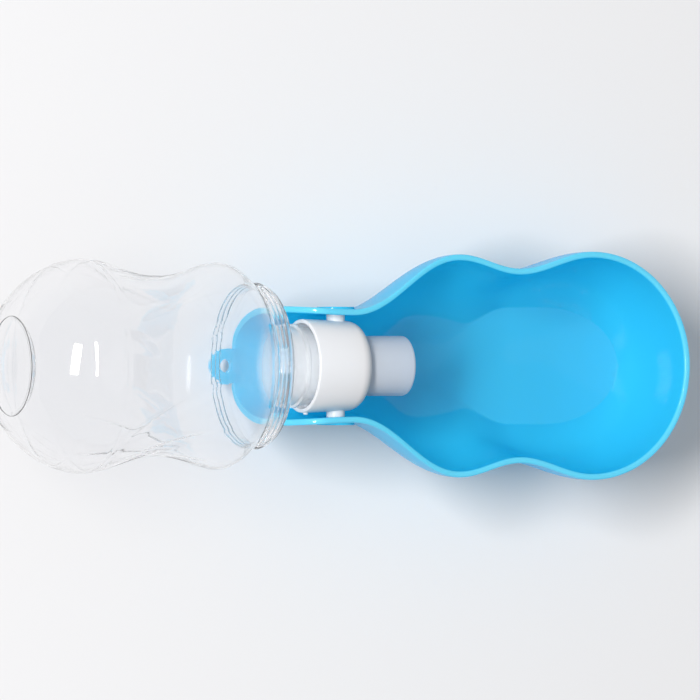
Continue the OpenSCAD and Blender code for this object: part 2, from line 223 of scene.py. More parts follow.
# Where the ears start to fall, the channel to deepen and its floor to widen, and half the run into the bowl
EAR_FLAT = 6 * MM
CHANNEL_FLAT_X = 12 * MM
KEEL_END_X = 50 * MM
BOWL_BLEND = 12 * MM
# The bowl's wall is a superellipse, deeper than the bowl, with a fillet from this share of the depth down
FULLNESS = 2.4
OVERSHOOT = 1.15
FILLET_START = 0.75
# The gap between the tab and the bottle's shoulder ring
STOP_GAP = 0.3 * MM
# The painted highlight along the rim, a pale band, starts and is full this far below its top
RIM_HIGHLIGHT_START, RIM_HIGHLIGHT_FULL = 1.3 * MM, 0.3 * MM


def rim_half_width(t, x):
    """Inner half width at the rim, from the hood to the second bulge."""
    if x < t.neck_x:
        return mix(t.neck_half_w, t.hood_half_w, between(t.neck_x - x, 0, t.neck_x + t.hood_x))
    if x < t.bulge_a_x:
        return mix(t.neck_half_w, t.bulge_a_half_w, between(x, t.neck_x, t.bulge_a_x))
    if x < t.waist_x:
        return mix(t.bulge_a_half_w, t.waist_half_w, between(x, t.bulge_a_x, t.waist_x))
    return mix(t.waist_half_w, t.bulge_b_half_w, between(x, t.waist_x, t.bulge_b_x))


def trough_half_width(t, x):
    """The same, with the round nose in front of the second bulge."""
    if x < t.bulge_b_x:
        return rim_half_width(t, x)
    return t.bulge_b_half_w * quarter((x - t.bulge_b_x) / (TIP_X - t.wall - t.bulge_b_x))


def bowl_depth(t):
    """Inner depth of the bowl below the pivot, from the frame's lowest point."""
    return PIVOT.z - TROUGH_LOW.z - t.foot_h - t.wall


def hood_depth(t, b):
    """Inner depth beside the cap, which leaves the tab under the bottle's shoulder ring."""
    return max(bottle_radius(b, t, TAB_X), b.ring_r) + STOP_GAP


def depth(t, b, x):
    return mix(hood_depth(t, b), bowl_depth(t), between(x, CHANNEL_FLAT_X, t.bulge_a_x))


def floor_half_width(t, x):
    return mix(t.keel_half_w, t.floor_half_w, between(x, KEEL_END_X, t.bulge_b_x - t.floor_run))


def rim_height(t, x):
    if x > 0:
        return mix(t.ear_h, t.rim_h, between(x, EAR_FLAT, t.bulge_a_x))
    return mix(t.ear_h, -t.hood_drop, between(-x, EAR_FLAT, t.hood_x))


def wall_share(t, x, down):
    """Share of the way from the floor's edge to the rim's edge, at a share of the depth down the wall."""
    floor_share = t.floor_half_w / t.bulge_b_half_w
    full = (1 - (down / OVERSHOOT) ** FULLNESS) ** (1 / FULLNESS)
    bowl = (full - floor_share) / (1 - floor_share)
    bowl *= quarter(max(down - FILLET_START, 0) / (1 - FILLET_START))
    return mix(quarter(down), bowl, between(x, t.waist_x - BOWL_BLEND, t.waist_x + BOWL_BLEND))


# Shapes of the bottle, in metres: s is the distance behind the pivot

BASE_S = PIVOT.x - BOTTLE_LOW.x
LIP_S = PIVOT.x - BOTTLE_HIGH.x
# How far the cap moves along the neck in one turn
LEAD = COUPLING["ratio"] * math.tau
# How tightly the curves of the body blend into each other
SOFTNESS = 4 / MM
# The neck's run in front of the shoulder, the slope of the ring's face, and the gap behind the ring
NECK_RUN = 6.2 * MM
FACE_RUN, FACE_DROP = 1.1 * MM, 0.9 * MM
RING_GAP = 0.4 * MM
# Half the width of the bead's foot, and the width of the ring that the bottle stands on
BEAD_W = 0.9 * MM
FOOT_W = 1.2 * MM
# Steps of the outline for each ridge, along the body and across the push-up
RIDGE_STEPS, BODY_STEPS, BASE_STEPS = 12, 170, 12
# Turn of the flutes for each metre, their start, and the share of their half length at full depth
FLUTE_TWIST = math.radians(1.1) / MM
FLUTE_PHASE = math.radians(6)
FLUTE_CORE = 0.35
# The neck's plastic turns hazy between these distances
HAZE_START, HAZE_FULL = 23 * MM, 19 * MM


def soft_min(a, b):
    """The smaller of two lengths, with a smooth change from one to the other."""
    return b - math.log(1 + math.exp(-SOFTNESS * (a - b))) / SOFTNESS


def shoulder_radius(b, t, s):
    """Outer radius of the curve from the first bulge to the groove behind the ring."""
    drop = t.bulge_a_half_w - b.fold_gap - b.ring_r + b.ring_step
    run = t.bulge_a_x - b.ring_x - b.ring_w / 2
    return t.bulge_a_half_w - b.fold_gap - drop * (max(t.bulge_a_x - s, 0) / run) ** 2


def bottle_radius(b, t, s):
    """Outer radius of the body. It follows the trough that folds over it."""
    body = soft_min(trough_half_width(t, s), trough_half_width(t, s + LEAD)) - b.fold_gap
    if s < t.bulge_a_x:
        return soft_min(body, shoulder_radius(b, t, s))
    heel_x = BASE_S - b.heel_h
    if s < heel_x:
        return body
    return soft_min(body, b.base_ring_r + b.heel_w * quarter((s - heel_x) / b.heel_h))


def grip_groove(b, s):
    """Depth of the two round grip grooves at a distance behind the pivot."""
    deep = 0
    for height in (b.grip_a_h, b.grip_b_h):
        off = (s - BASE_S + height) / b.grip_half_w
        deep += b.grip_depth * math.exp(-(off**2) * 2)
    return deep


# Meshes


def linked(name, mesh, body):
    """A piece at the origin, which rides on a body of the frame."""
    piece = bpy.data.objects.new(name, mesh)
    bpy.context.scene.collection.objects.link(piece)
    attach(piece, body)
    return piece


def mesh_of(name, points, faces, sharp=35):
    """A closed mesh with outward faces, shaded smooth but for edges sharper than an angle in degrees."""
    work = bmesh.new()
    corners = [work.verts.new(point) for point in points]
    for face in faces:
        ring = list(dict.fromkeys(face))
        if len(ring) > 2:
            work.faces.new([corners[i] for i in ring])
    bmesh.ops.remove_doubles(work, verts=work.verts, dist=1e-7)
    bmesh.ops.recalc_face_normals(work, faces=work.faces)
    mesh = bpy.data.meshes.new(name)
    work.to_mesh(mesh)
    work.free()
    mesh.polygons.foreach_set("use_smooth", [True] * len(mesh.polygons))
    mesh.set_sharp_from_angle(angle=math.radians(sharp))
    return mesh


def rounded(corners, steps=5):
    """A profile from corners (distance, radius, rounding), each corner as an arc of its rounding."""
    line = []
    for i, (x, r, fillet) in enumerate(corners):
        here = Vector((x, r))
        if fillet <= 0:
            line.append(here)
            continue
        before = Vector(corners[i - 1][:2])
        after = Vector(corners[(i + 1) % len(corners)][:2])
        u, v = (before - here).normalized(), (after - here).normalized()
        half = math.acos(max(-1, min(1, u.dot(v)))) / 2
        reach = min(fillet / math.tan(half), (before - here).length * 0.49, (after - here).length * 0.49)
        radius = reach * math.tan(half)
        centre = here + (u + v).normalized() * (radius / math.sin(half))
        start, end = here + u * reach - centre, here + v * reach - centre
        swing = start.angle_signed(end)
        for k in range(steps + 1):
            turned = start.copy()
            turned.rotate(Matrix.Rotation(-swing * k / steps, 2))
            line.append(centre + turned)
    return line


def belts(loops):
    """Points of closed loops of one length, and quads from each loop to the next, the last to the first."""
    count = len(loops[0])
    faces = []
    for i in range(len(loops)):
        a, b = i * count, (i + 1) % len(loops) * count
        for k in range(count):
            n = (k + 1) % count
            faces.append((a + k, a + n, b + n, b + k))
    return [point for loop in loops for point in loop], faces


def turned(name, profile, steps, place):
    """A closed profile of (distance, radius) turned about an axis through the pivot, laid out by place()."""
    loops = []
    for k in range(steps):
        c, s = math.cos(math.tau * k / steps), math.sin(math.tau * k / steps)
        offsets = [place(along, r * c, r * s) for along, r in profile]
        loops.append([(PIVOT.x + x, PIVOT.y + y, PIVOT.z + z) for x, y, z in offsets])
    return mesh_of(name, *belts(loops))


def lathe(name, profile, steps=128):
    """A closed profile of (x from the pivot, radius) turned about the bottle's axis."""
    return turned(name, profile, steps, lambda along, across, up: (along, across, up))


def turned_on_pivot(name, corners, side, steps=64):
    """A profile of (distance along the pivot's axis, radius, rounding) turned about that axis."""
    return turned(name, rounded(corners), steps, lambda along, across, up: (across, side * along, up))


def slab(name, outline, hole, low, high, edge):
    """A flat piece with bevelled edges: an outline and a hole, each a list of (x, y) of one length."""
    centre = Vector((0, 0))
    for p in outline:
        centre += Vector(p) / len(outline)
    ways = [(Vector(p) - centre).normalized() for p in outline]
    loops = []
    for z, inset in ((low, edge), (low + edge, 0), (high - edge, 0), (high, edge)):
        loops.append([(x - way.x * inset, y - way.y * inset, z) for (x, y), way in zip(outline, ways)])
    if hole:
        loops += [[(x, y, z) for x, y in hole] for z in (high, low)]
    points, faces = belts(loops)
    if not hole:
        count, total = len(outline), len(points)
        faces = faces[:-count] + [tuple(range(count)), tuple(range(total - count, total))]
    return mesh_of(name, points, faces, 30)


# Materials


class Value:
    """A shader socket that takes part in arithmetic."""

    def __init__(self, graph, socket):
        self.graph, self.socket = graph, socket

    def __add__(self, other):
        return self.graph.maths("ADD", self, other)

    __radd__ = __add__

    def __sub__(self, other):
        return self.graph.maths("SUBTRACT", self, other)

    def __rsub__(self, other):
        return self.graph.maths("SUBTRACT", other, self)

    def __mul__(self, other):
        return self.graph.maths("MULTIPLY", self, other)

    __rmul__ = __mul__

    def __pow__(self, other):
        return self.graph.maths("POWER", self, other)


class Graph:
    """A material's node tree, with one method for any node."""

    last_node = "ShaderNodeOutputMaterial"

    def __init__(self, name):
        self.own(bpy.data.materials.new(name))
        self.place = self.add("TexCoord", output="Object")

    def own(self, owner):
        """Empties the node tree of a material or a world, to build in it."""
        owner.use_nodes = True
        self.owner, self.tree = owner, owner.node_tree
        self.tree.nodes.clear()

    def feed(self, socket, value):
        if isinstance(value, Value):
            self.tree.links.new(value.socket, socket)
        else:
            socket.default_value = value

    def add(self, kind, settings=None, inputs=None, output=0):
        node = self.tree.nodes.new(kind if "Node" in kind else "ShaderNode" + kind)
        for key, value in (settings or {}).items():
            setattr(node, key, value)
        for key, value in (inputs or {}).items():
            self.feed(node.inputs[key], value)
        return Value(self, node.outputs[output])

    def maths(self, operation, *values):
        return self.add("Math", {"operation": operation}, dict(enumerate(values)))

    def noise(self, scale, detail=2.0, roughness=0.5):
        inputs = {"Vector": self.place, "Scale": scale, "Detail": detail, "Roughness": roughness}
        return self.add("TexNoise", inputs=inputs, output="Fac")

    def blend(self, factor, a, b):
        """A colour between two colours, each a value or three numbers."""
        a, b = (part if isinstance(part, Value) else (*part, 1) for part in (a, b))
        return self.add("Mix", {"data_type": "RGBA"}, {"Factor": factor, 6: a, 7: b}, output=2)

    def bump(self, height, strength, distance):
        return self.add("Bump", inputs={"Height": height, "Strength": strength, "Distance": distance})

    def mix_shader(self, factor, a, b):
        return self.add("MixShader", inputs={0: factor, 1: a, 2: b})

    def finish(self, surface):
        output = self.tree.nodes.new(self.last_node)
        self.feed(output.inputs["Surface"], surface)
        return self.owner


class Surroundings(Graph):
    """A world's node tree."""

    last_node = "ShaderNodeOutputWorld"

    def __init__(self, name):
        self.own(bpy.data.worlds.new(name))


class Shape(Graph):
    """A Geometry Nodes tree with named sizes, which ends in real geometry with a material."""

    def __init__(self, name, sizes):
        self.tree = bpy.data.node_groups.new(name, "GeometryNodeTree")
        face = self.tree.interface
        face.new_socket("Geometry", in_out="INPUT", socket_type="NodeSocketGeometry")
        for size in sizes:
            face.new_socket(size, in_out="INPUT", socket_type="NodeSocketFloat")
        face.new_socket("Material", in_out="INPUT", socket_type="NodeSocketMaterial")
        face.new_socket("Geometry", in_out="OUTPUT", socket_type="NodeSocketGeometry")
        self.group_input = self.tree.nodes.new("NodeGroupInput")

    def given(self, name):
        return Value(self, self.group_input.outputs[name])

    def close(self, geometry):
        real = self.add("GeometryNodeRealizeInstances", inputs={"Geometry": geometry})
        finish = {"Geometry": real, "Material": self.given("Material")}
        output = self.tree.nodes.new("NodeGroupOutput")
        self.feed(output.inputs["Geometry"], self.add("GeometryNodeSetMaterial", inputs=finish))
        return self.tree


def darker(rgb, share):
    return tuple(channel * share for channel in rgb)


def clear_plastic(tint, haze):
    """Blown clear plastic: a little wavy, thick and hazy on the neck. The lamps' light passes through it."""
    g = Graph("clear_plastic")
    waves = g.noise(55)
    surface = g.add(
        "BsdfPrincipled",
        inputs={
            "Base Color": (*tint, 1),
            "Transmission Weight": 1.0,
            "IOR": 1.22,
            "Coat Weight": 0.9,
            "Coat Roughness": 0.03,
            "Roughness": 0.02 + g.noise(140, 3.0) * 0.03,
            "Normal": g.bump(waves, 0.12, 0.001),
        },
    )
    along = g.add("SeparateXYZ", inputs={"Vector": g.place}, output="X")
    thick = g.add(
        "MapRange",
        {"interpolation_type": "SMOOTHSTEP"},
        {"Value": along, "From Min": PIVOT.x - HAZE_START, "From Max": PIVOT.x - HAZE_FULL},
    )
    cloudy = g.add("BsdfDiffuse", inputs={"Color": (*haze, 1)})
    body = g.mix_shader(thick * (0.25 + g.noise(90) * 0.2), surface, cloudy)
    shadow = g.add("LightPath", output="Is Shadow Ray")
    scattered = g.add("LightPath", output="Is Diffuse Ray")
    open_way = g.add("BsdfTransparent", inputs={"Color": (0.97, 0.972, 0.977, 1)})
    return g.finish(g.mix_shader(scattered, g.mix_shader(shadow, body, open_way), open_way))


def moulded_plastic(name, rgb, roughness, grain=0.06, glow=None, glow_share=0.0, coat=0.0, edge=None):
    """Injection-moulded plastic: fine grain, faint flow marks, and a glow where light passes through it. An edge
    colour paints a highlight where the mesh's edge attribute is set.
    """
    g = Graph(name)
    flow = g.noise(22, 3.0, 0.55)
    specks = g.noise(900)
    base = g.blend(flow, darker(rgb, 0.965), rgb)
    if edge:
        # Painted highlight: a paler colour blended in along the band that the edge attribute marks
        base = g.blend(g.add("Attribute", {"attribute_name": "edge"}, output="Fac"), base, edge)
    surface = g.add(
        "BsdfPrincipled",
        inputs={
            "Base Color": base,
            "Roughness": roughness - 0.04 + flow * 0.05 + specks * 0.03,
            "Specular IOR Level": 0.35 * (1 - coat),
            "Coat Weight": coat,
            "Coat Roughness": 0.06,
            "Normal": g.bump(flow * 0.2 + specks * grain, 0.25, 0.0005),
        },
    )
    if glow is None:
        return g.finish(surface)
    through = g.add("BsdfTranslucent", inputs={"Color": (*glow, 1)})
    return g.finish(g.mix_shader(glow_share, surface, through))


def material_set(f):
    """All finishes by name."""
    cool = (0.74, 0.87, 0.98)
    # The blue's edge colour paints a highlight along the trough's rim
    blue = {"glow": f.blue_glow, "glow_share": 0.45, "coat": 0.85, "edge": tuple(f.blue_rim_highlight)}
    return {
        "clear": clear_plastic(f.clear, f.haze),
        "blue": moulded_plastic("blue_plastic", f.blue, 0.34, **blue),
        "white": moulded_plastic("white_plastic", f.white, 0.38, glow=cool, glow_share=0.18),
        "milky": moulded_plastic("milky_plastic", f.milky, 0.42, glow=cool, glow_share=0.5),
        "valve": moulded_plastic("valve_plastic", f.valve, 0.45),
        "silicone": moulded_plastic("silicone", f.silicone, 0.6, grain=0.12),
    }


MATERIALS = {}


def material(name):
    """A finish by name. All are made when the first is asked for."""
    if not MATERIALS:
        MATERIALS.update(material_set(bpy.context.scene.bottle_finishes))
    return MATERIALS[name]


def dressed(piece, finish):
    """Gives a piece its finish."""
    piece.data.materials.clear()
    piece.data.materials.append(material(finish))


# Operators


def bottle_profile(b, t):
    """Closed outline of the bottle's wall as (x from the pivot, radius)."""
    front, back = b.ring_x - b.ring_w / 2, b.ring_x + b.ring_w / 2
    neck_end, start = front - NECK_RUN, back + RING_GAP
    neck_foot = (neck_end, b.neck_r, 3.2 * MM)
    face = (front - FACE_RUN, b.ring_r - FACE_DROP, 0.5 * MM)
    neck = rounded(
        [
            (LIP_S, b.mouth_r, 0.3 * MM),
            (LIP_S, b.neck_r, 0.5 * MM),
            (b.bead_x - BEAD_W, b.neck_r, 0.35 * MM),
            (b.bead_x - BEAD_W / 2, b.bead_r, 0.3 * MM),
            (b.bead_x + BEAD_W / 2, b.bead_r, 0.3 * MM),
            (b.bead_x + BEAD_W, b.neck_r, 0.35 * MM),
            neck_foot,
            face,
            (front, b.ring_r - b.ridge_h, 0),
        ]
    )
    ring = []
    for k in range(b.ridges * RIDGE_STEPS + 1):
        wave = abs(math.cos(math.pi * k / RIDGE_STEPS)) ** 3
        s = front + b.ring_w * k / (b.ridges * RIDGE_STEPS)
        ring.append(Vector((s, b.ring_r - b.ridge_h * wave)))
    body = []
    for i in range(BODY_STEPS + 1):
        s = start + (BASE_S - start) * math.sin(math.pi / 2 * i / BODY_STEPS)
        body.append(Vector((s, bottle_radius(b, t, s) - grip_groove(b, s))))
    foot_in = b.base_ring_r - FOOT_W
    base = [Vector((BASE_S, foot_in))]
    for k in range(1, BASE_STEPS):
        a = math.pi / 2 * k / BASE_STEPS
        base.append(Vector((BASE_S - b.push_up_h * math.sin(a), (foot_in - 0.5 * MM) * math.cos(a))))
    smooth = rounded([(LIP_S, b.neck_r, 0), neck_foot, face, (*body[0], 0), (*body[1], 0)])[1:-2]
    smooth += body + base
    inside = [Vector((BASE_S - b.push_up_h - b.wall, 0))]
    for i in range(len(smooth) - 2, 0, -1):
        along = (smooth[i + 1] - smooth[i - 1]).normalized()
        thick = mix(b.neck_r - b.mouth_r, b.wall, between(smooth[i].x, neck_end - 2 * MM, front))
        inside.append(smooth[i] + Vector((-along.y, along.x)) * -thick)
    outside = neck[:-1] + ring + body + base + [Vector((BASE_S - b.push_up_h, 0))]
    return [(-p.x, max(p.y, 0)) for p in outside + inside]


def thread_tree():
    """A rounded thread that winds round the neck."""
    g = Shape("neck_thread", ("Turns", "Radius", "Lead", "Section"))
    radius, turns = g.given("Radius"), g.given("Turns")
    spiral = g.add(
        "GeometryNodeCurveSpiral",
        inputs={
            "Resolution": 96,
            "Rotations": turns,
            "Start Radius": radius,
            "End Radius": radius,
            "Height": turns * g.given("Lead"),
        },
    )
    section = g.add(
        "GeometryNodeCurvePrimitiveCircle", inputs={"Resolution": 14, "Radius": g.given("Section")}
    )
    sweep = g.add(
        "GeometryNodeCurveToMesh", inputs={"Curve": spiral, "Profile Curve": section, "Fill Caps": True}
    )
    return g.close(g.add("GeometryNodeSetShadeSmooth", inputs={"Geometry": sweep}))


def flute_tree():
    """Twisted flutes sunk into the waist of a turned bottle."""
    g = Shape("bottle_flutes", ("Count", "Depth", "Twist", "Phase", "Middle", "Half length"))
    place = g.add("GeometryNodeInputPosition")
    x, y, z = (g.add("SeparateXYZ", inputs={"Vector": place}, output=axis) for axis in "XYZ")
    behind, side, up = PIVOT.x - x, y - PIVOT.y, z - PIVOT.z
    off = g.maths("ABSOLUTE", behind - g.given("Middle"))
    reach = g.given("Half length")
    fade = g.add(
        "MapRange",
        {"interpolation_type": "SMOOTHSTEP"},
        {"Value": off, "From Min": reach, "From Max": reach * FLUTE_CORE},
    )
    angle = g.maths("ARCTAN2", up, side)
    turn = (angle - g.given("Twist") * behind - g.given("Phase")) * g.given("Count")
    crest = g.maths("MAXIMUM", g.maths("COSINE", turn), 0.0) ** 5
    outward = g.add("CombineXYZ", inputs={"Y": side, "Z": up})
    unit = g.add("VectorMath", {"operation": "NORMALIZE"}, {0: outward})
    push = 0.0 - g.given("Depth") * fade * crest
    sink = g.add("VectorMath", {"operation": "SCALE"}, {0: unit, "Scale": push})
    moved = {"Geometry": g.given("Geometry"), "Offset": sink}
    return g.close(g.add("GeometryNodeSetPosition", inputs=moved))


def grown(name, tree, values, start=None):
    """The plain mesh that a Geometry Nodes tree makes of a first mesh with these input values."""
    holder = bpy.data.objects.new(name, start or bpy.data.meshes.new(name))
    bpy.context.scene.collection.objects.link(holder)
    modifier = holder.modifiers.new("nodes", "NODES")
    modifier.node_group = tree
    for item in tree.interface.items_tree:
        if item.item_type == "SOCKET" and item.in_out == "INPUT" and item.name in values:
            modifier[item.identifier] = values[item.name]
    graph = bpy.context.evaluated_depsgraph_get()
    mesh = bpy.data.meshes.new_from_object(holder.evaluated_get(graph))
    bpy.data.objects.remove(holder)
    return mesh


class WATERBOTTLE_OT_bottle(bpy.types.Operator):
    """Blown bottle: base ring, round heel, two bulges with grip flutes, shoulder ring and neck."""

    bl_idname = "waterbottle.bottle"
    bl_label = "Bottle"

    def execute(self, context):
        b, t = context.scene.bottle_sizes, context.scene.trough_sizes
        values = {
            "Count": float(b.flutes),
            "Depth": b.flute_depth,
            "Twist": FLUTE_TWIST,
            "Phase": FLUTE_PHASE,
            "Middle": (t.bulge_a_x + t.bulge_b_x) / 2,
            "Half length": (t.bulge_b_x - t.bulge_a_x) / 2,
            "Material": material("clear"),
        }
        plain = lathe("bottle_body", bottle_profile(b, t), 192)
        piece = linked("bottle_body", grown("bottle_body", flute_tree(), values, plain), "bottle")
        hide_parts("bottle")
        dressed(piece, "clear")
        return {"FINISHED"}


class WATERBOTTLE_OT_neck_thread(bpy.types.Operator):
    """Thread on the bottle's neck."""

    bl_idname = "waterbottle.neck_thread"
    bl_label = "Neck thread"

    def execute(self, context):
        b = context.scene.bottle_sizes
        values = {
            "Turns": b.thread_turns,
            "Radius": b.neck_r + b.thread_h - b.thread_r,
            "Lead": LEAD,
            "Section": b.thread_r,
            "Material": material("clear"),
        }
        mesh = grown("neck_thread", thread_tree(), values)
        start = Matrix.Translation((BOTTLE_HIGH.x - b.thread_x, PIVOT.y, PIVOT.z))
        mesh.transform(start @ Matrix.Rotation(math.pi / 2, 4, "Y"))
        dressed(linked("neck_thread", mesh, "bottle"), "clear")
        return {"FINISHED"}


class WATERBOTTLE_OT_cap(bpy.types.Operator):
    """Screw cap with its rounded shoulder, its recess round the spout and its trunnions."""

    bl_idname = "waterbottle.cap"
    bl_label = "Screw cap"

    def execute(self, context):
        c = context.scene.cap_sizes
        rim, front = CAP_LOW.x - PIVOT.x, CAP_HIGH.x - PIVOT.x
        gap = 0.3 * MM
        chimney_hole_r = c.chimney_r + gap
        recess_x, recess_r = c.plate_x + c.plate_t, (SPOUT_HIGH.y - SPOUT_LOW.y) / 2 + gap
        dome_x, dome_r = 3.2 * MM, c.cap_r - 0.6 * MM
        inner = rounded(
            [
                (front, recess_r, 0.25 * MM),
                (recess_x, recess_r, 0.3 * MM),
                (recess_x, chimney_hole_r, 0.2 * MM),
                (c.plate_x, chimney_hole_r, 0),
                (c.plate_x, c.bore_r, 0.5 * MM),
                (rim, c.bore_r, 0.4 * MM),
                (rim, c.cap_r, 0.5 * MM),
                (dome_x, dome_r, 0),
            ]
        )
        profile = inner[:-1]
        for degrees in range(0, 91, 6):
            a = math.radians(degrees)
            x, r = mix(dome_x, front, math.sin(a)), mix(c.shoulder_r, dome_r, math.cos(a))
            profile.append((x, r))
        piece = linked("cap_shell", lathe("cap_shell", profile), "cap")
        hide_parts("screw_cap")
        dressed(piece, "white")

        root, reach = c.cap_r - 1.2 * MM, CAP_HIGH.y - PIVOT.y
        end = [(reach, c.trunnion_r, 0.4 * MM), (reach, 0, 0)]
        for side, name in ((1, "trunnion_left"), (-1, "trunnion_right")):
            pin = turned_on_pivot(name, [(root, 0, 0), (root, c.trunnion_r, 0), *end], side)
            dressed(linked(name, pin, "cap"), "white")

        nub_h, foot_r, top_r = 1.3 * MM, 0.9 * MM, 0.75 * MM
        corners = [(0, 0, 0), (0, foot_r, 0), (nub_h, top_r, 0.5 * MM), (nub_h, 0, 0)]
        nub = lathe("moulding_nub", rounded(corners), 32)
        before_rim, sunk, above = 1.3 * MM, 0.7 * MM, MM
        spot = PIVOT + Vector((rim + before_rim, sunk - c.cap_r, above))
        turn = Matrix.Rotation(-math.pi / 2, 4, "Z")
        nub.transform(Matrix.Translation(spot) @ turn @ Matrix.Translation(-PIVOT))
        dressed(linked("moulding_nub", nub, "cap"), "white")
        return {"FINISHED"}


class WATERBOTTLE_OT_spout(bpy.types.Operator):
    """Pull spout: skirt, sleeve and end wall with its orifice."""

    bl_idname = "waterbottle.spout"
    bl_label = "Pull spout"

    def execute(self, context):
        c = context.scene.cap_sizes
        back, end = SPOUT_LOW.x - PIVOT.x, SPOUT_HIGH.x - PIVOT.x
        outer_r = (SPOUT_HIGH.y - SPOUT_LOW.y) / 2
        skirt_r = outer_r - c.spout_wall
        inner_end = end - c.end_wall
        skirt_end = inner_end - MM
        lip_r = c.chimney_r + c.slide_gap
        lip_end, slope_end = back + 1.2 * MM, back + 1.4 * MM
        sleeve_in_r = lip_r + 0.3 * MM
        sleeve_out_r = sleeve_in_r + 0.9 * MM
        profile = rounded(
            [
                (end, c.orifice_r, 0.35 * MM),
                (inner_end, c.orifice_r, 0),
                (inner_end, sleeve_in_r, 0.3 * MM),
                (slope_end, sleeve_in_r, 0),
                (lip_end, lip_r, 0),
                (back, lip_r, 0.2 * MM),
                (back, sleeve_out_r, 0.2 * MM),
                (skirt_end, sleeve_out_r, 0.4 * MM),
                (skirt_end, skirt_r, 0.4 * MM),
                (back, skirt_r, 0.2 * MM),
                (back, outer_r, 0.3 * MM),
                (end, outer_r, 1.1 * MM),
            ],
            7,
        )
        piece = linked("spout_body", lathe("spout_body", profile), "spout")
        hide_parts("pull_spout")
        dressed(piece, "milky")
        return {"FINISHED"}


class WATERBOTTLE_OT_valve(bpy.types.Operator):
    """Finishes of the valve and the neck seal."""

    bl_idname = "waterbottle.valve"
    bl_label = "Valve and seal"

    def execute(self, context):
        dressed(frame["nodes"]["valve_stem"], "valve")
        dressed(frame["nodes"]["neck_seal"], "silicone")
        return {"FINISHED"}


def trough_shell(t, b):
    """Points and faces of the trough: stations along the sides and round the tip, and a section at each."""
    side_n, tip_n, wall_n = 130, 44, 22
    sides = [(-t.hood_x + (t.bulge_b_x + t.hood_x) * i / side_n, None) for i in range(side_n + 1)]
    tips = [(t.bulge_b_x, math.pi / 2 * j / tip_n) for j in range(1, tip_n + 1)]
    half = sides + tips
    downs = [math.cos(math.pi / 2 * k / wall_n) for k in range(wall_n + 1)]
    nose = TIP_X - t.wall - t.bulge_b_x
    arc = [math.radians(15 * k) for k in range(7)]

    def at(station, out, z):
        """A point of the wall at a height: out is 0 on the inner surface and 1 on the outer one."""
        x, turn = station
        thick = t.wall * out
        share = wall_share(t, x, min(max(-z / (depth(t, b, x) + thick), 0), 1))
        floor = floor_half_width(t, x) + thick / 2
        w = mix(floor, rim_half_width(t, x) + thick, share)
        if turn is None:
            return Vector((x, w, z))
        reach = mix(nose - t.tip_draft + thick / 2, nose + thick, share)
        return Vector((x + reach * math.sin(turn), w * math.cos(turn), z))

    def section(station):
        x = station[0]
        deep, r = depth(t, b, x), t.rim_round
        rise = rim_height(t, x) - r
        curve_top = min(rise, 0)
        line = [at(station, 1, mix(curve_top, -(deep + t.wall), down)) for down in downs]
        line += [at(station, 1, mix(curve_top, rise, k / 3)) for k in (1, 2)]
        line += [at(station, 1 - r / t.wall * (1 - math.cos(a)), rise + r * math.sin(a)) for a in arc]
        line += [at(station, r / t.wall * (1 - math.sin(a)), rise + r * math.cos(a)) for a in arc]
        line += [at(station, 0, mix(curve_top, rise, k / 3)) for k in (2, 1)]
        line += [at(station, 0, mix(curve_top, -deep, down)) for down in downs[::-1]]
        return line

    left = [section(station) for station in half]
    right = [[Vector((p.x, -p.y, p.z)) for p in line] for line in left[-2::-1]]
    lines = left + right
    count, last = len(lines[0]), len(lines) - 1
    points = [PIVOT + p for line in lines for p in line]
    faces = []
    for i in range(last):
        for k in range(count - 1):
            a, c = i * count + k, (i + 1) * count + k
            faces.append((a, c, c + 1, a + 1))
    for i in range(len(half) - 1):
        for k in (0, count - 1):
            a, c = i * count + k, (last - i) * count + k
            faces.append((a, c, c - count, a + count))
    mid = count // 2
    for end in (0, last):
        for k in range(mid):
            a, c = end * count + k, end * count + count - 1 - k
            faces.append((a, a + 1, c - 1, c) if c - 1 > a + 1 else (a, a + 1, c))
    faces.append((0, last * count, last * count + count - 1, count - 1))
    return points, faces


class WATERBOTTLE_OT_trough(bpy.types.Operator):
    """Drinking trough: two bulges, a flat floor, a hood behind the cap and a rounded rim."""

    bl_idname = "waterbottle.trough"
    bl_label = "Trough"

    def execute(self, context):
        t, b = context.scene.trough_sizes, context.scene.bottle_sizes
        points, faces = trough_shell(t, b)
        mesh = mesh_of("trough_shell", points, faces, 50)
        # The edge attribute marks the band along the rim where a highlight is painted in a paler blue
        edge = mesh.attributes.new("edge", "FLOAT", "POINT")
        for corner, mark in zip(mesh.vertices, edge.data):
            place = corner.co - PIVOT
            rim = rim_height(t, place.x)
            mark.value = between(place.z, rim - RIM_HIGHLIGHT_START, rim - RIM_HIGHLIGHT_FULL)
        piece = linked("trough_shell", mesh, "trough")
        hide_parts("trough")
        dressed(piece, "blue")
        return {"FINISHED"}


def tab_outline(t):
    """Outline of the strap tab and its hole, as two lists of (x, y) with as many points."""
    hole_x = PIVOT.x - TAB_X + t.tab_half_w
    straight = TAB_X - t.tab_half_w - t.hood_x + 2 * MM
    outline, hole = [], []
    for k in range(96):
        a = math.tau * k / 96
        way = Vector((math.cos(a), math.sin(a)))
        reach = t.tab_half_w
        if way.x > 0:
            reach = min(t.tab_half_w / max(abs(way.y), 1e-6), straight / way.x)
        outline.append((hole_x + way.x * reach, PIVOT.y + way.y * reach))
        hole.append((hole_x + way.x * t.strap_hole_r, PIVOT.y + way.y * t.strap_hole_r))
    return outline, hole


def foot_outline(t):
    """Outline of the foot: a small and a large half circle with straight sides between them."""
    start, end = t.bulge_b_x - t.floor_run - 6 * MM, t.bulge_b_x + 6 * MM
    small, large = t.floor_half_w - 5 * MM, t.floor_half_w - 2 * MM
    lean = math.asin((large - small) / (end - start))
    outline = []
    for x, r, first, last in (
        (start, small, math.pi / 2 + lean, 3 * math.pi / 2 - lean),
        (end, large, -math.pi / 2 - lean, math.pi / 2 + lean),
    ):
        for k in range(49):
            a = mix(first, last, k / 48)
            outline.append((PIVOT.x + x + r * math.cos(a), PIVOT.y + r * math.sin(a)))
    return outline


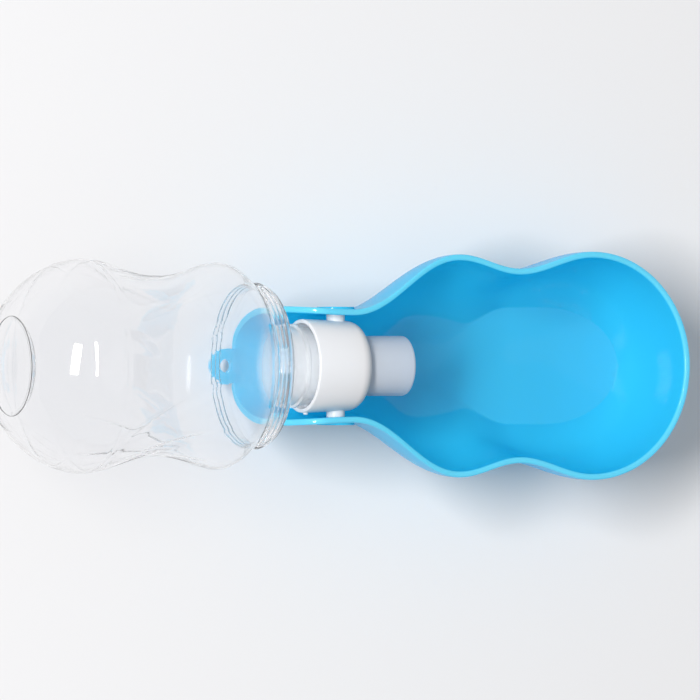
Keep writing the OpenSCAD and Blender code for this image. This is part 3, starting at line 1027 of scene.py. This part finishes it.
class WATERBOTTLE_OT_trough_fittings(bpy.types.Operator):
    """Pivot bosses, strap tab and foot of the trough."""

    bl_idname = "waterbottle.trough_fittings"
    bl_label = "Trough fittings"

    def execute(self, context):
        t, b = context.scene.trough_sizes, context.scene.bottle_sizes
        root = t.neck_half_w + t.wall / 2
        face = t.neck_half_w + t.wall + t.boss_h
        dish = face - 0.25 * MM
        corners = [
            (root, 0, 0),
            (root, t.boss_r, 0),
            (face, t.boss_r, 0.3 * MM),
            (face, t.boss_r * 0.62, 0.2 * MM),
            (dish, t.boss_r * 0.58, 0.2 * MM),
            (dish, 0, 0),
        ]
        for side, name in ((1, "pivot_boss_left"), (-1, "pivot_boss_right")):
            disc = turned_on_pivot(name, corners, side)
            dressed(linked(name, disc, "trough"), "blue")

        # The tab's faces lie a little inside the hood's floor, so that no two faces share a plane
        outline, hole = tab_outline(t)
        top, skin = PIVOT.z - hood_depth(t, b), 0.05 * MM
        tab = slab("strap_tab", outline, hole, top - t.wall + skin, top - skin, 0.35 * MM)
        dressed(linked("strap_tab", tab, "trough"), "blue")

        low, sunk = TROUGH_LOW.z, 0.4 * MM
        foot = slab("trough_foot", foot_outline(t), None, low, low + t.foot_h + sunk, 0.2 * MM)
        dressed(linked("trough_foot", foot, "trough"), "blue")
        return {"FINISHED"}


FLOOR_HALF = 3.0
KEY_SIZE, KEY_PLACE = (1.4, 0.4), PIVOT + Vector((-1.75, 0.3, 1.85))
FILL_SIZE, FILL_PLACE = (1.0, 1.0), PIVOT + Vector((0.1, -0.1, 1.3))


class WATERBOTTLE_OT_stage(bpy.types.Operator):
    """Pale floor, soft lamps and the camera."""

    bl_idname = "waterbottle.stage"
    bl_label = "Studio"

    def execute(self, context):
        scene = context.scene
        st, f = scene.stage_sizes, scene.bottle_finishes
        half = FLOOR_HALF
        mesh = bpy.data.meshes.new("floor")
        corners = [(-half, -half, 0), (half, -half, 0), (half, half, 0), (-half, half, 0)]
        mesh.from_pydata(corners, [], [(0, 1, 2, 3)])
        floor = bpy.data.objects.new("floor", mesh)
        scene.collection.objects.link(floor)
        g = Graph("floor_paper")
        paper = g.blend(g.noise(6), darker(f.floor, 0.995), f.floor)
        looks = {"Base Color": paper, "Roughness": 0.9, "Specular IOR Level": 0.1}
        mesh.materials.append(g.finish(g.add("BsdfPrincipled", inputs=looks)))

        scene.world = studio_world(st)
        lamp(scene, "key", st.key_power, KEY_SIZE, KEY_PLACE, (1.0, 0.995, 0.985))
        lamp(scene, "fill", st.fill_power, FILL_SIZE, FILL_PLACE, (0.95, 0.98, 1.0))

        camera = bpy.data.objects.new("camera", bpy.data.cameras.new("camera"))
        scene.collection.objects.link(camera)
        right = Vector((math.cos(st.tilt), 0, math.sin(st.tilt)))
        up = Vector((0, 1, 0))
        back = right.cross(up)
        place = PIVOT + right * st.aim_right + up * st.aim_up + back * st.distance
        turn = Matrix((right, up, back)).transposed().to_4x4()
        camera.matrix_world = Matrix.Translation(place) @ turn
        camera.data.lens = camera.data.sensor_width * st.distance / st.frame_w
        camera.data.clip_start, camera.data.clip_end = 0.01, 20
        scene.camera = camera
        scene.view_settings.view_transform = "Standard"
        return {"FINISHED"}


def studio_world(st):
    """Pale light all round, which clear plastic and gloss see as bright as the paper."""
    g = Surroundings("studio")
    kinds = ("Is Camera Ray", "Is Glossy Ray", "Is Transmission Ray", "Diffuse Depth")
    camera, gloss, clear, scattered = (g.add("LightPath", output=kind) for kind in kinds)
    seen = g.maths("MAXIMUM", g.maths("MAXIMUM", camera, gloss), clear)
    pale = (0.96, 0.98, 1.0, 1)
    sky = g.add("Background", inputs={"Color": pale, "Strength": st.sky})
    backdrop = g.add("Background", inputs={"Color": pale, "Strength": st.backdrop})
    return g.finish(g.mix_shader(seen * g.maths("LESS_THAN", scattered, 0.5), sky, backdrop))


def lamp(scene, name, power, size, place, rgb):
    """An area lamp that points at the pivot and isn't counted twice through clear plastic."""
    data = bpy.data.lights.new(name, "AREA")
    data.shape = "RECTANGLE"
    data.energy, data.size, data.size_y = power, *size
    data.color = rgb
    made = bpy.data.objects.new(name, data)
    scene.collection.objects.link(made)
    made.location = place
    made.rotation_mode = "QUATERNION"
    made.rotation_quaternion = (PIVOT - place).to_track_quat("-Z", "Y")
    made.visible_transmission = False


class WATERBOTTLE_PT_panel(bpy.types.Panel):
    """Lists the pieces of the bottle."""

    bl_idname = "WATERBOTTLE_PT_panel"
    bl_label = "Water Bottle"
    bl_space_type = "VIEW_3D"
    bl_region_type = "UI"
    bl_category = "Water Bottle"

    def draw(self, context):
        for operator in OPERATORS:
            self.layout.operator(operator.bl_idname)


GROUPS = {
    "trough_sizes": TroughSizes,
    "bottle_sizes": BottleSizes,
    "cap_sizes": CapSizes,
    "bottle_finishes": Finishes,
    "stage_sizes": StageSizes,
}
OPERATORS = (
    WATERBOTTLE_OT_bottle,
    WATERBOTTLE_OT_neck_thread,
    WATERBOTTLE_OT_cap,
    WATERBOTTLE_OT_valve,
    WATERBOTTLE_OT_spout,
    WATERBOTTLE_OT_trough,
    WATERBOTTLE_OT_trough_fittings,
    WATERBOTTLE_OT_stage,
)


def register():
    for made in (*GROUPS.values(), *OPERATORS, WATERBOTTLE_PT_panel):
        bpy.utils.register_class(made)
    for name, group in GROUPS.items():
        setattr(bpy.types.Scene, name, bpy.props.PointerProperty(type=group))


def unregister():
    for name in GROUPS:
        delattr(bpy.types.Scene, name)
    for made in (WATERBOTTLE_PT_panel, *OPERATORS, *GROUPS.values()):
        bpy.utils.unregister_class(made)


def main():
    register()
    bpy.ops.waterbottle.bottle()
    bpy.ops.waterbottle.neck_thread()
    bpy.ops.waterbottle.cap()
    bpy.ops.waterbottle.valve()
    bpy.ops.waterbottle.spout()
    bpy.ops.waterbottle.trough()
    bpy.ops.waterbottle.trough_fittings()
    bpy.ops.waterbottle.stage()


if __name__ == "__main__":
    main()
